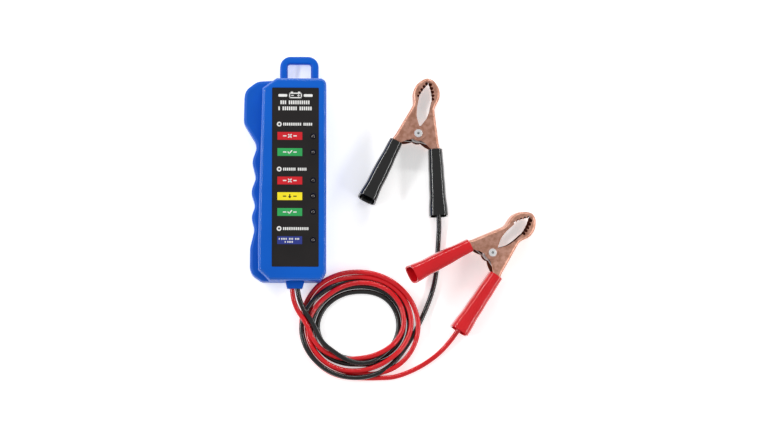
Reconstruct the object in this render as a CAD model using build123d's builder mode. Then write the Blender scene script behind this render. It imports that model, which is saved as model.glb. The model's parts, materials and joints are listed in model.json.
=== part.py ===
from build123d import *
import math
import os

# A hand-held battery tester lying on its back, with two test leads that end in sprung clamps.
# Millimetres. The origin is the middle of the housing on its flat back, +Y towards the hang loop,
# +Z out of the face.

# ---- housing ----
case_depth = 22.0
split_height = 13.0
wall = 2.0
face_wall = 2.4
case_right = 23.0
case_top = 51.8
case_bottom = -61.8
corner_radius = 3.6
head_bevel = 5.6
foot_bevel = 6.0
low_bevel_across = 2.9
low_bevel_up = 4.3
face_bevel = 1.2
grip_step = 2.5
grip_radius = 3.5
lip_thickness = 0.9
lip_height = 1.4
lip_clearance = 0.15

loop_left = -2.6
loop_right = 19.1
loop_top = 65.9
loop_thickness = 6.0
loop_corner = 5.9
loop_bar = 4.3
loop_opening_corner = 1.2
loop_root = 3.0

# ---- label and lights ----
label_width = 26.3
label_length = 100.7
label_centre = (5.65, -4.05)
label_recess = 0.5
label_thickness = 0.4
label_clearance = 0.1
light_x = 15.6
light_rows = {
    "alternator_bad_led": 18.9,
    "alternator_good_led": 10.0,
    "battery_bad_led": -5.8,
    "battery_low_led": -14.6,
    "battery_good_led": -23.5,
    "recommendation_led": -39.3,
}
led_diameter = 3.0
led_length = 5.3
led_rim_diameter = 3.8
led_rim_thickness = 1.0
led_stand_proud = 0.2
led_clearance = 0.1
led_leg = 0.5
led_leg_pitch = 2.54
led_leg_through = 1.0

# ---- circuit board ----
board_bottom = 6.0
board_thickness = 1.6
board_left = -9.5
board_right = 20.0
board_low = -48.5
board_high = 37.0
board_screw_inset = 4.0
board_screw_diameter = 2.2
board_screw_head = 4.2
board_screw_head_height = 1.6
board_post_diameter = 5.0
leg_hole_clearance = 0.1
chip_size = (6.4, 19.3, 3.5)
chip_place = (-1.0, -14.0)
chip_lift = 0.5
chip_pins = 7
chip_pin_pitch = 2.54
chip_row_pitch = 7.62
chip_pin_width = 0.5
chip_pin_sheet = 0.3
resistor_diameter = 2.4
resistor_length = 6.3
resistor_reach = 10.2
resistor_rows = (26.0, 21.0, 15.0, 7.0, 2.0)
resistor_x = 0.0
capacitor_diameter = 5.0
capacitor_height = 9.0
capacitor_edge = 0.5
capacitor_place = (9.0, -32.0)
axial_lead = 0.7
reference_diode_size = (1.9, 4.2)
reference_diode_row = -29.0
polarity_diode_size = (2.7, 5.2)
polarity_diode_row = -34.5
solder_radius = 1.3
solder_top_radius = 0.7
solder_height = 1.8
solder_place = -44.5

# ---- fasteners of the case ----
case_screw_places = ((-5.0, 43.4), (16.2, 44.6), (-7.6, -53.5), (16.2, -55.0))
case_screw_diameter = 2.6
case_screw_head = 5.0
case_screw_head_height = 1.8
case_screw_hole = 3.1
case_screw_recess = 2.6
case_screw_bite = 7.0
case_post_diameter = 6.0
back_post_diameter = 7.6
post_meeting_height = 9.0

# ---- test leads ----
lead_diameter = 2.8
lead_gap = 0.2
gland_x = 5.8
gland_side = 1.4
gland_cover = 2.1
gland_top_gap = 0.5
gland_out = 3.9
gland_taper = 0.9
gland_neck_side = 0.8
gland_flange = 1.4
gland_clearance = 0.1
inner_lead_end = -46.0
tie_place = -54.0
tie_width = 2.4
tie_thickness = 1.1

coil_centre = (42.4, -86.6)
coil_outer = (34.4, 29.9)
coil_hole = (21.5, 16.5)
coil_height = 8.4
coil_edge = 2.4

# Each lead's route outside the coil, from the gland to the coil and from the coil to the clamp's crimp.
lead_routes = {
    "red_lead_start": [
        (4.3, -65.7, 9.0), (4.6, -69.7, 8.8), (5.8, -74.3, 8.0), (8.2, -79.2, 7.2), (11.9, -84.0, 6.6),
    ],
    "black_lead_start": [
        (7.3, -65.7, 9.0), (7.9, -69.7, 8.8), (9.4, -74.3, 8.0), (11.9, -79.2, 7.2), (15.6, -84.0, 6.6),
    ],
    "red_lead_end": [
        (45.2, -113.4, 1.5), (53.0, -115.2, 1.4), (61.6, -114.9, 1.4), (70.9, -111.6, 1.4),
        (79.6, -107.0, 1.4), (87.3, -101.2, 1.5), (93.5, -94.3, 2.2), (97.9, -88.1, 3.7),
        (101.7, -82.2, 5.3), (106.6, -74.7, 6.7), (111.8, -66.7, 7.2),
    ],
    "black_lead_end": [
        (71.0, -94.2, 1.4), (75.9, -84.8, 1.4), (80.0, -75.7, 1.4), (83.4, -66.6, 1.4), (85.6, -56.6, 1.4),
        (86.2, -46.6, 1.4), (86.8, -37.6, 1.4), (87.2, -30.0, 1.9), (86.9, -23.2, 3.3), (86.1, -16.5, 4.9),
        (85.3, -7.6, 6.2), (84.7, 1.9, 6.7),
    ],
}

# ---- clamps, each in its own frame: the pivot at the origin, the jaws towards +Y ----
sheet = 0.9
plate_gap = 0.3
lever_lift = 1.0
channel_height = 11.4
jaw_tip = 31.8
jaw_shoulder = (5.6, 28.3)
jaw_widest = (7.6, 22.5)
neck = (6.2, 15.2)
handle_shoulder = (12.4, -3.0)
handle_armpit = (5.6, -5.0)
lobe_overhang = 3.57
mouth_root = 0.3
mouth_side = ((2.0, 7.4), (3.3, 10.4), (3.9, 14.5))
jaw_gap = 0.15
tooth_count = 5
tooth_depth = 0.55
mouth_half_gap = 3.9
tooth_start = 20.8
tooth_end = 28.6
lobe_radius = 4.1
rivet_diameter = 3.0
rivet_head = 4.6
rivet_head_height = 0.5
rivet_bore = 1.2
pivot_clearance = 0.06
rivet_end_play = 0.05
boot_angle = 14.8
boot_mouth = (11.2, -6.4)
boot_length = 38.0
boot_height = 13.4
boot_side = 1.5
boot_spread = 3.3
boot_corner = 2.9
boot_flare_depth = 6.0
boot_wall = 1.2
handle_length = 31.0
handle_clearance = 0.15
spring_outer = 9.6
spring_wire = 1.4
spring_leg_short = 1.0
spring_end_gap = 0.1
spring_leg_sink = 0.15
crimp_place = 9.0
crimp_length = 5.0
crimp_wall = 0.7
crimp_clearance = 0.05
clamp_angle = {"black": -11.8, "red": -48.1}
clamp_pivot = {"black": (75.0, 22.0, 0.0), "red": (115.1, -44.3, 0.45)}
clamp_roll = {"black": 0.0, "red": 7.9}

os.makedirs("parts", exist_ok=True)


def write(builder, name):
    builder.part.label = name
    export_step(builder.part, f"parts/{name}.step")


# The raised front's outline: bevelled corners on the grip side, the left edge slanting outwards.
right_corner = (case_right - corner_radius, case_top)
right_side = [
    (case_right - low_bevel_across, case_bottom),
    (case_right, case_bottom + low_bevel_up),
    (case_right, case_top - corner_radius),
]
with BuildLine() as front_outline:
    Polyline(
        (-4.9, case_top), (-12.7, case_top - head_bevel), (-14.4, -15.7), (-15.0, -42.5),
        (-14.9, case_bottom + foot_bevel), (-8.5, case_bottom), *right_side,
    )
    RadiusArc((case_right, case_top - corner_radius), right_corner, -corner_radius)
    Line(right_corner, (-4.9, case_top))

# The back half's outline: wider on the left, where it swells at the head and waves along the grip.
grip_corners = [
    (-15.5, case_top - 0.6), (-22.6, 45.8), (-23.0, 28.0), (-15.2, 15.0), (-18.3, 6.2), (-16.0, -3.2),
    (-18.9, -10.9), (-16.3, -18.9), (-18.7, -25.0), (-16.8, -32.2), (-19.3, -42.5), (-19.4, -54.0),
    (-18.0, -58.0), (-12.5, case_bottom),
]
with BuildLine() as back_outline:
    FilletPolyline((-6.0, case_top), *grip_corners, right_side[0], radius=grip_radius)
    Polyline(*right_side)
    RadiusArc((case_right, case_top - corner_radius), right_corner, -corner_radius)
    Line(right_corner, (-6.0, case_top))


# ---- front shell: outer body, hollow, screw posts, label recess, light holes ----
light_places = [(light_x, y) for y in light_rows.values()]
light_hole = led_diameter + 2 * led_clearance
post_top = case_depth - face_wall
with BuildPart() as front_shell:
    with BuildSketch(Plane.XY.offset(split_height)):
        make_face(front_outline.edges())
    extrude(amount=case_depth - split_height)
    chamfer(front_shell.faces().sort_by(Axis.Z)[-1].edges(), face_bevel)
    with BuildSketch(Plane.XY.offset(split_height)):
        make_face(front_outline.edges())
        offset(amount=-wall, kind=Kind.INTERSECTION)
    extrude(amount=post_top - split_height, mode=Mode.SUBTRACT)
    with BuildSketch(Plane.XY.offset(case_depth - label_recess)):
        with Locations(label_centre):
            Rectangle(label_width, label_length)
    extrude(amount=label_recess, mode=Mode.SUBTRACT)
    with BuildSketch(Plane.XY.offset(post_meeting_height)):
        with Locations(*case_screw_places):
            Circle(case_post_diameter / 2)
    extrude(amount=post_top - post_meeting_height)
    with BuildSketch(Plane.XY.offset(post_meeting_height)):
        with Locations(*case_screw_places):
            Circle(case_screw_diameter / 2)
    extrude(amount=case_screw_bite, mode=Mode.SUBTRACT)
    with BuildSketch(Plane.XY.offset(post_top)):
        with Locations(*light_places):
            Circle(light_hole / 2)
    extrude(amount=face_wall, mode=Mode.SUBTRACT)
write(front_shell, "front_shell")

with BuildPart() as face_label:
    with BuildSketch(Plane.XY.offset(case_depth - label_recess)):
        with Locations(label_centre):
            Rectangle(label_width - 2 * label_clearance, label_length - 2 * label_clearance)
        with Locations(*light_places):
            Circle(light_hole / 2, mode=Mode.SUBTRACT)
    extrude(amount=label_thickness)
write(face_label, "face_label")

# ---- back shell: tray with hang loop, lip, posts for the board and the case screws, gland slot ----
board_top = board_bottom + board_thickness
gland_height = board_top + lead_diameter / 2
lead_pitch = lead_diameter + lead_gap
lead_pair = lead_pitch + lead_diameter
gland_outer_width = lead_pair + 2 * gland_side
gland_base_width = gland_outer_width + 2 * gland_taper
gland_neck_width = lead_pair + 2 * gland_neck_side
board_screw_places = [
    (x, y)
    for x in (board_left + board_screw_inset, board_right - board_screw_inset)
    for y in (board_low + board_screw_inset, board_high - board_screw_inset)
]
loop_x = (loop_left + loop_right) / 2
lip_inside = wall + lip_clearance + lip_thickness
hollow_top = split_height - grip_step - wall
gland_low = gland_height - lead_diameter / 2 - gland_cover
gland_size = split_height - gland_top_gap - gland_low
with BuildPart() as back_shell:
    with BuildSketch():
        make_face(back_outline.edges())
    extrude(amount=split_height - grip_step)
    with BuildSketch():
        make_face(front_outline.edges())
    extrude(amount=split_height)
    with BuildSketch():
        with Locations((loop_x, (case_top - loop_root + loop_top) / 2)):
            Rectangle(loop_right - loop_left, loop_top - case_top + loop_root)
        fillet(vertices().group_by(Axis.Y)[-1], loop_corner)
    extrude(amount=loop_thickness)
    with BuildSketch(Plane.XY.offset(wall)):
        make_face(back_outline.edges())
        offset(amount=-wall)
    extrude(amount=hollow_top - wall, mode=Mode.SUBTRACT)
    with BuildSketch(Plane.XY.offset(wall)):
        make_face(front_outline.edges())
        offset(amount=-wall, kind=Kind.INTERSECTION)
    extrude(amount=split_height - wall, mode=Mode.SUBTRACT)
    with BuildSketch():
        with Locations((loop_x, (case_top + loop_top - loop_bar) / 2)):
            Rectangle(loop_right - loop_left - 2 * loop_bar, loop_top - loop_bar - case_top)
        fillet(vertices().group_by(Axis.Y)[-1], loop_opening_corner)
    extrude(amount=loop_thickness, mode=Mode.SUBTRACT)
    for base, edge in ((split_height - lip_height, wall), (split_height, wall + lip_clearance)):
        with BuildSketch(Plane.XY.offset(base)):
            make_face(front_outline.edges())
            offset(amount=-edge, kind=Kind.INTERSECTION)
            offset(amount=edge - lip_inside, kind=Kind.INTERSECTION, mode=Mode.SUBTRACT)
        extrude(amount=lip_height)
    with BuildSketch(Plane.XY.offset(wall)):
        with Locations(*board_screw_places):
            Circle(board_post_diameter / 2)
    extrude(amount=board_bottom - wall)
    with BuildSketch(Plane.XY.offset(wall)):
        with Locations(*board_screw_places):
            Circle(board_screw_diameter / 2)
    extrude(amount=board_bottom - wall, mode=Mode.SUBTRACT)
    with BuildSketch():
        with Locations(*case_screw_places):
            Circle(back_post_diameter / 2)
    extrude(amount=post_meeting_height)
    with BuildSketch():
        with Locations(*case_screw_places):
            Circle(case_screw_hole / 2)
    extrude(amount=post_meeting_height, mode=Mode.SUBTRACT)
    with BuildSketch():
        with Locations(*case_screw_places):
            Circle(case_screw_head / 2 + gland_clearance)
    extrude(amount=case_screw_recess, mode=Mode.SUBTRACT)
    with BuildSketch(Plane.XY.offset(gland_low - gland_clearance)):
        with Locations((gland_x, case_bottom)):
            Rectangle(gland_neck_width + 2 * gland_clearance, 4 * wall)
    extrude(amount=split_height, mode=Mode.SUBTRACT)
    with BuildSketch(Plane.XY.offset(split_height - lip_height)):
        with Locations((gland_x, case_bottom + 2 * wall)):
            Rectangle(gland_base_width + 4 * gland_clearance, 2 * wall)
    extrude(amount=2 * lip_height, mode=Mode.SUBTRACT)
write(back_shell, "back_shell")

with BuildPart() as lead_gland:
    with BuildLine() as gland_outline:
        Polyline(
            (gland_x - gland_outer_width / 2, case_bottom - gland_out),
            (gland_x - gland_base_width / 2, case_bottom - gland_clearance),
            (gland_x - gland_neck_width / 2, case_bottom - gland_clearance),
            (gland_x - gland_neck_width / 2, case_bottom + wall + gland_clearance),
            (gland_x - gland_base_width / 2, case_bottom + wall + gland_clearance),
            (gland_x - gland_base_width / 2, case_bottom + wall + gland_flange),
            (gland_x, case_bottom + wall + gland_flange),
        )
        mirror(about=Plane.YZ.offset(gland_x))
        Line(
            (gland_x - gland_outer_width / 2, case_bottom - gland_out),
            (gland_x + gland_outer_width / 2, case_bottom - gland_out),
        )
    with BuildSketch(Plane.XY.offset(gland_low)):
        make_face(gland_outline.edges())
    extrude(amount=gland_size)
    with BuildSketch(Plane.XZ.offset(-case_bottom + gland_out)):
        with Locations(*[(gland_x + side * lead_pitch / 2, gland_height) for side in (-1, 1)]):
            Circle(lead_diameter / 2)
    extrude(amount=-(gland_out + wall + gland_flange), mode=Mode.SUBTRACT)
write(lead_gland, "lead_gland")

# ---- leads inside the housing: from the gland onto the board, held together by a tie ----
for colour, side in (("red", -1), ("black", 1)):
    with BuildPart() as inner_lead:
        with BuildSketch(Plane.XZ.offset(-case_bottom + gland_out)):
            with Locations((gland_x + side * lead_pitch / 2, gland_height)):
                Circle(lead_diameter / 2)
        extrude(amount=-(gland_out - case_bottom + inner_lead_end))
    write(inner_lead, f"{colour}_inner_lead")

with BuildPart() as lead_tie:
    with BuildSketch(Plane.XZ.offset(-tie_place)):
        with Locations((gland_x, gland_height)):
            RectangleRounded(
                lead_pair + 2 * tie_thickness, lead_diameter + 2 * tie_thickness, tie_thickness
            )
            SlotOverall(lead_pair, lead_diameter, mode=Mode.SUBTRACT)
    extrude(amount=-tie_width)
write(lead_tie, "lead_tie")

with BuildPart() as solder_joints:
    for side in (-1, 1):
        with Locations((gland_x + side * lead_pitch / 2, solder_place, board_top + solder_height / 2)):
            Cone(solder_radius, solder_top_radius, solder_height)
write(solder_joints, "solder_joints")

# ---- circuit board and what is on it ----
leg_places = [(light_x + side * led_leg_pitch / 2, y) for y in light_rows.values() for side in (-1, 1)]
leg_hole = led_leg * math.sqrt(2) + 2 * leg_hole_clearance
with BuildPart() as circuit_board:
    with BuildSketch(Plane.XY.offset(board_bottom)):
        with Locations(((board_left + board_right) / 2, (board_low + board_high) / 2)):
            Rectangle(board_right - board_left, board_high - board_low)
        with Locations(*leg_places):
            Circle(leg_hole / 2, mode=Mode.SUBTRACT)
        with Locations(*board_screw_places):
            Circle(board_screw_diameter / 2, mode=Mode.SUBTRACT)
    extrude(amount=board_thickness)
write(circuit_board, "circuit_board")

led_base = case_depth + led_stand_proud - led_length
for name, y in light_rows.items():
    with BuildPart() as led:
        with BuildSketch(Plane.XZ.offset(-y)):
            with BuildLine():
                Polyline(
                    (light_x, led_base + led_length), (light_x, led_base),
                    (light_x + led_rim_diameter / 2, led_base),
                    (light_x + led_rim_diameter / 2, led_base + led_rim_thickness),
                    (light_x + led_diameter / 2, led_base + led_rim_thickness),
                    (light_x + led_diameter / 2, led_base + led_length - led_diameter / 2),
                )
                CenterArc((light_x, led_base + led_length - led_diameter / 2), led_diameter / 2, 0, 90)
            make_face()
        revolve(axis=Axis((light_x, y, 0), (0, 0, 1)))
    write(led, name)

with BuildPart() as led_legs:
    with BuildSketch(Plane.XY.offset(board_bottom - led_leg_through)):
        with Locations(*leg_places):
            Rectangle(led_leg, led_leg)
    extrude(amount=led_base - board_bottom + led_leg_through)
write(led_legs, "led_legs")

pin_drop = chip_lift + chip_size[2] / 2
with BuildPart() as comparator_chip:
    with Locations((*chip_place, board_top + chip_lift + chip_size[2] / 2)):
        Box(*chip_size)
    for side in (-1, 1):
        for row in range(chip_pins):
            y = chip_place[1] + (row - (chip_pins - 1) / 2) * chip_pin_pitch
            reach = (chip_row_pitch + chip_pin_sheet) / 2
            with Locations((chip_place[0] + side * reach / 2, y, board_top + pin_drop)):
                Box(reach, chip_pin_width, chip_pin_sheet)
            with Locations((chip_place[0] + side * chip_row_pitch / 2, y, board_top + pin_drop / 2)):
                Box(chip_pin_sheet, chip_pin_width, pin_drop)
write(comparator_chip, "comparator_chip")


def axial_part(x, y, diameter, length):
    """A component lying along X, its two leads bent down to the board."""
    height = board_top + diameter / 2 + axial_lead / 2
    with Locations(Location((x, y, height), (0, 90, 0))):
        Cylinder(diameter / 2, length)
        Cylinder(axial_lead / 2, resistor_reach)
    for side in (-1, 1):
        with Locations((x + side * (resistor_reach - axial_lead) / 2, y, (board_top + height) / 2)):
            Cylinder(axial_lead / 2, height - board_top)


with BuildPart() as resistors:
    for row in resistor_rows:
        axial_part(resistor_x, row, resistor_diameter, resistor_length)
write(resistors, "resistors")

with BuildPart() as reference_diode:
    axial_part(resistor_x, reference_diode_row, *reference_diode_size)
write(reference_diode, "reference_diode")

with BuildPart() as polarity_diode:
    axial_part(resistor_x, polarity_diode_row, *polarity_diode_size)
write(polarity_diode, "polarity_diode")

with BuildPart() as filter_capacitor:
    with BuildSketch(Plane.XY.offset(board_top)):
        with Locations(capacitor_place):
            Circle(capacitor_diameter / 2)
    extrude(amount=capacitor_height)
    fillet(filter_capacitor.edges().sort_by(Axis.Z)[-1], capacitor_edge)
write(filter_capacitor, "filter_capacitor")

# ---- fasteners ----
with BuildPart() as board_screws:
    with BuildSketch(Plane.XY.offset(wall)):
        with Locations(*board_screw_places):
            Circle(board_screw_diameter / 2)
    extrude(amount=board_top - wall)
    with BuildSketch(Plane.XY.offset(board_top)):
        with Locations(*board_screw_places):
            Circle(board_screw_head / 2)
    extrude(amount=board_screw_head_height)
write(board_screws, "board_screws")

with BuildPart() as case_screws:
    with BuildSketch(Plane.XY.offset(case_screw_recess - case_screw_head_height)):
        with Locations(*case_screw_places):
            Circle(case_screw_head / 2)
    extrude(amount=case_screw_head_height)
    with BuildSketch(Plane.XY.offset(case_screw_recess)):
        with Locations(*case_screw_places):
            Circle(case_screw_diameter / 2)
    extrude(amount=post_meeting_height + case_screw_bite - case_screw_recess)
write(case_screws, "case_screws")


# ---- test leads: tubes of straight runs and tangent arcs, and one solid for the loose coil ----
def bend_radii(route):
    """The largest arc at each corner that leaves a tenth of the shorter run straight."""
    radii = []
    for before, here, after in zip(route, route[1:], route[2:]):
        back, ahead = Vector(*here) - Vector(*before), Vector(*after) - Vector(*here)
        half_turn = math.radians(back.get_angle(ahead)) / 2
        radii.append(0.45 * min(back.length, ahead.length) / math.tan(half_turn))
    return radii


for name, route in lead_routes.items():
    radii = bend_radii(route)
    print(name, "bend radii", [round(radius, 1) for radius in radii])
    with BuildPart() as lead:
        with BuildLine() as middle:
            FilletPolyline(*route, radius=radii)
        with BuildSketch(Plane(middle.wires()[0] @ 0, z_dir=middle.wires()[0] % 0)):
            Circle(lead_diameter / 2)
        sweep()
    section = math.pi * lead_diameter ** 2 / 4
    print(name, "length", round(middle.wires()[0].length, 1), "volume", round(lead.part.volume / section, 1))
    write(lead, name)

with BuildPart() as lead_coil:
    with BuildSketch():
        with Locations(coil_centre):
            Ellipse(*coil_outer)
            Ellipse(*coil_hole, mode=Mode.SUBTRACT)
    extrude(amount=coil_height)
    fillet(lead_coil.edges().group_by(Axis.Z)[-1], coil_edge)
write(lead_coil, "lead_coil")


# ---- clamps: two sheet-metal levers on a hollow rivet, a torsion spring, a sleeve on each handle ----
boot_turn = math.radians(boot_angle)
along = (math.sin(boot_turn), -math.cos(boot_turn))
across = (math.cos(boot_turn), math.sin(boot_turn))
web = sheet * (across[0] + across[1] / 3)
handle_half_width = lead_diameter / 2 + crimp_wall + (web - handle_clearance + 4 * crimp_clearance) / 2
web_face = handle_half_width - web
boot_mouth_width = 2 * (handle_half_width + boot_side)
boot_end_width = boot_mouth_width + boot_spread
crimp_offset = handle_half_width + handle_clearance - lead_diameter / 2 - crimp_wall - crimp_clearance


def boot_point(distance, shift):
    """A point of the fixed handle, that far from the sleeve's mouth and that far out from its middle."""
    return (
        boot_mouth[0] + along[0] * distance + across[0] * shift,
        boot_mouth[1] + along[1] * distance + across[1] * shift,
    )


def boot_plane(seat, side, distance, height):
    """A plane square to a handle, facing its open end; side is 1 on the fixed handle, -1 on the other."""
    x, y = boot_point(distance, 0)
    sideways = (across[0], side * across[1], 0)
    square = Plane((side * x, y, height), x_dir=sideways, z_dir=(side * along[0], along[1], 0))
    return Plane(seat * square.location)


def level(seat, height, shift=(0, 0)):
    return Plane(seat * Location((*shift, height)))


def mirrored(side, *points):
    return [(side * x, y) for x, y in points]


boot_middle = boot_height / 2
boot_inner_height = boot_height - 2 * boot_wall
boot_inner_corner = boot_corner - boot_wall
lever_sizes = {
    "fixed": (1, lever_lift + sheet + plate_gap, channel_height - 2 * (sheet + plate_gap)),
    "moving": (-1, lever_lift, channel_height),
}
rivet_low = lever_lift - rivet_end_play
rivet_length = channel_height + 2 * rivet_end_play
spring_low = lever_lift + 2 * sheet + plate_gap + spring_end_gap
spring_high = lever_lift + channel_height - 2 * sheet - plate_gap - spring_end_gap
coil_radius = (spring_outer - spring_wire) / 2 - spring_leg_sink
leg_high = spring_high - spring_wire / 2 - spring_leg_sink
leg_low = spring_low + spring_wire / 2 + spring_leg_sink

for colour in ("black", "red"):
    roll_frame = Location((*boot_mouth, 0), (0, 0, boot_angle))
    roll = roll_frame * Location((0, 0, 0), (0, clamp_roll[colour], 0)) * roll_frame.inverse()
    seat = Location(clamp_pivot[colour], (0, 0, clamp_angle[colour])) * roll

    for kind, (side, low, height) in lever_sizes.items():
        teeth = [
            (mouth_half_gap + (jaw_gap - mouth_half_gap) * n / tooth_count,
             tooth_start + (tooth_end - tooth_start) * n / tooth_count)
            for n in range(tooth_count + 1)
        ]
        with BuildLine() as lever_outline:
            Spline(
                *mirrored(side, (jaw_gap, jaw_tip), jaw_shoulder, jaw_widest, neck),
                tangents=mirrored(side, (1, 0), (0.3, -1)),
            )
            Polyline(*mirrored(
                side, neck, handle_shoulder,
                boot_point(0, handle_half_width), boot_point(handle_length, handle_half_width),
                boot_point(handle_length, -handle_half_width), boot_point(0, -handle_half_width),
                handle_armpit, (lobe_radius / 2, -lobe_overhang), (jaw_gap, -lobe_radius / 2),
                (jaw_gap, lobe_radius + mouth_root), *mouth_side, teeth[0],
            ))
            for (x0, y0), (x1, y1) in zip(teeth, teeth[1:]):
                hollow_of_tooth = ((x0 + x1) / 2 + tooth_depth, (y0 + y1) / 2)
                ThreePointArc(*mirrored(side, (x0, y0), hollow_of_tooth, (x1, y1)))
            Line(*mirrored(side, teeth[-1], (jaw_gap, jaw_tip)))
        hole = rivet_diameter / 2 + (0 if kind == "fixed" else pivot_clearance)
        with BuildPart() as lever:
            with BuildSketch(level(seat, low)):
                make_face(lever_outline.edges())
                Circle(lobe_radius)
            extrude(amount=height)
            with BuildSketch(level(seat, low + sheet, (-side * sheet, -sheet / 3))):
                make_face(lever_outline.edges())
                with Locations((side * sheet, sheet / 3)):
                    Circle(lobe_radius + sheet)
            extrude(amount=height - 2 * sheet, mode=Mode.SUBTRACT)
            with BuildSketch(level(seat, low)):
                Circle(hole)
            extrude(amount=height, mode=Mode.SUBTRACT)
        write(lever, f"{colour}_clamp_{kind}_lever")

        with BuildPart() as boot:
            with BuildSketch(boot_plane(seat, side, 0, boot_middle)):
                RectangleRounded(boot_mouth_width, boot_height, boot_corner)
            with BuildSketch(boot_plane(seat, side, boot_length, boot_middle)):
                RectangleRounded(boot_end_width, boot_height, boot_corner)
            loft()
            handle_width = 2 * (handle_half_width + handle_clearance)
            with BuildSketch(boot_plane(seat, side, 0, low + height / 2)):
                Rectangle(handle_width, height)
            extrude(amount=boot_length, mode=Mode.SUBTRACT)
            with BuildSketch(boot_plane(seat, side, boot_length - boot_flare_depth, boot_middle)):
                RectangleRounded(handle_width, boot_inner_height, boot_inner_corner)
            with BuildSketch(boot_plane(seat, side, boot_length, boot_middle)):
                RectangleRounded(boot_end_width - 2 * boot_wall, boot_inner_height, boot_inner_corner)
            loft(mode=Mode.SUBTRACT)
        write(boot, f"{colour}_clamp_{kind}_boot")

    with BuildPart() as rivet:
        with BuildSketch(level(seat, rivet_low)):
            Circle(rivet_diameter / 2)
        extrude(amount=rivet_length)
        for start in (rivet_low - rivet_head_height, rivet_low + rivet_length):
            with BuildSketch(level(seat, start)):
                Circle(rivet_head / 2)
            extrude(amount=rivet_head_height)
        with BuildSketch(level(seat, 0)):
            Circle(rivet_bore / 2)
        extrude(amount=boot_height, mode=Mode.SUBTRACT)
    write(rivet, f"{colour}_clamp_rivet")

    with BuildPart() as spring:
        with BuildSketch(level(seat, spring_low)):
            Circle(spring_outer / 2)
            Circle(spring_outer / 2 - spring_wire, mode=Mode.SUBTRACT)
        extrude(amount=spring_high - spring_low)
        leg_end = boot_point(-spring_leg_short, web_face - spring_wire / 2)
        leg_angle = math.atan2(leg_end[1], leg_end[0]) - math.acos(coil_radius / math.hypot(*leg_end))
        leg_start = (coil_radius * math.cos(leg_angle), coil_radius * math.sin(leg_angle))
        for side, height in ((1, leg_high), (-1, leg_low)):
            run = (side * (leg_end[0] - leg_start[0]), leg_end[1] - leg_start[1], 0)
            leg_plane = Plane((side * leg_start[0], leg_start[1], height), z_dir=run)
            with BuildSketch(Plane(seat * leg_plane.location)):
                Circle(spring_wire / 2)
            extrude(amount=math.hypot(*run))
    write(spring, f"{colour}_clamp_spring")

    with BuildPart() as crimp:
        with BuildSketch(boot_plane(seat, 1, crimp_place, boot_middle)):
            with Locations((-crimp_offset, 0)):
                Circle(lead_diameter / 2 + crimp_wall)
            with Locations(((web_face - crimp_offset) / 2, 0)):
                Rectangle(web_face + crimp_offset, lead_diameter)
            with Locations((-crimp_offset, 0)):
                Circle(lead_diameter / 2, mode=Mode.SUBTRACT)
        extrude(amount=crimp_length)
    write(crimp, f"{colour}_clamp_crimp")
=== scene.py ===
import bmesh
import bpy
import json
import math
from mathutils import Matrix, Vector, geometry


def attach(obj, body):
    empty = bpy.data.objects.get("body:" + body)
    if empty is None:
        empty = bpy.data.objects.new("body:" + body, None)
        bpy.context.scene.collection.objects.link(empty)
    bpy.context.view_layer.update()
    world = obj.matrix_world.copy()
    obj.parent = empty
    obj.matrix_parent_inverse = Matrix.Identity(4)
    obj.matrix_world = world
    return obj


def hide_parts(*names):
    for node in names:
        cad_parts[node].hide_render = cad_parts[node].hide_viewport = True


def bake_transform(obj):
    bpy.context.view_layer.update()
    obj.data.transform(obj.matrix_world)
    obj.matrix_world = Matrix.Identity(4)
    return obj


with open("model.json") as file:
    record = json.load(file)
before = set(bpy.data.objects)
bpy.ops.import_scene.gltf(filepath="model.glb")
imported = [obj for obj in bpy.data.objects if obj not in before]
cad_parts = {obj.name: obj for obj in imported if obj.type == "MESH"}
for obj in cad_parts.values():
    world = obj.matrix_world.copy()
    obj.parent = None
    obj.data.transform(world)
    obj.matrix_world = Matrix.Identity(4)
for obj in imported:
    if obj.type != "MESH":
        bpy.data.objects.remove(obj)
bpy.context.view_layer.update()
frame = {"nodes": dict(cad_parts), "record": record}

# A hand-held battery tester lying on its back. Millimetres inside the sections, metres in the meshes.
# The origin is the middle of the housing on its flat back, +Y towards the hang loop, +Z out of the face.
MM = 0.001


# ---- Camera, studio lights and table ----
# The tester lies on a pale table. The camera looks almost straight down through a long lens, and
# three soft boxes give the plastic its long highlights.
aim = Vector((0.0587, -0.0272, 0.020))
distance = 2.7
seen_width = 0.4364
sensor_width = 36.0
off_vertical = math.radians(6.0)
heading = math.radians(25.0)
away = Vector((
    -math.sin(off_vertical) * math.sin(heading),
    -math.sin(off_vertical) * math.cos(heading),
    math.cos(off_vertical),
))
picture_up = (Vector((0, 1, 0)) - away * away.y).normalized()
picture_right = picture_up.cross(away)
camera_data = bpy.data.cameras.new("camera")
camera_data.sensor_width = sensor_width
camera_data.lens = sensor_width * distance / seen_width
camera = bpy.data.objects.new("camera", camera_data)
turn = Matrix((picture_right, picture_up, away)).transposed().to_4x4()
camera.matrix_world = Matrix.Translation(aim + away * distance) @ turn
bpy.context.collection.objects.link(camera)
bpy.context.scene.camera = camera
bpy.context.scene.view_settings.view_transform = "Standard"

soft_boxes = (
    ("left_soft_box", (-1.00, 0.20, 0.75), (1.30, 0.10), 9.0),
    ("right_soft_box", (1.00, -0.15, 0.70), (1.30, 0.08), 6.5),
    ("back_soft_box", (0.10, 1.15, 0.85), (1.30, 0.10), 6.0),
)
for name, place, (width, height), power in soft_boxes:
    light_data = bpy.data.lights.new(name, "AREA")
    light_data.shape = "RECTANGLE"
    light_data.size = width
    light_data.size_y = height
    light_data.energy = power
    light = bpy.data.objects.new(name, light_data)
    light.location = aim + Vector(place)
    light.rotation_euler = (-Vector(place)).to_track_quat("-Z", "Y").to_euler()
    light.visible_camera = False
    bpy.context.collection.objects.link(light)

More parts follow.
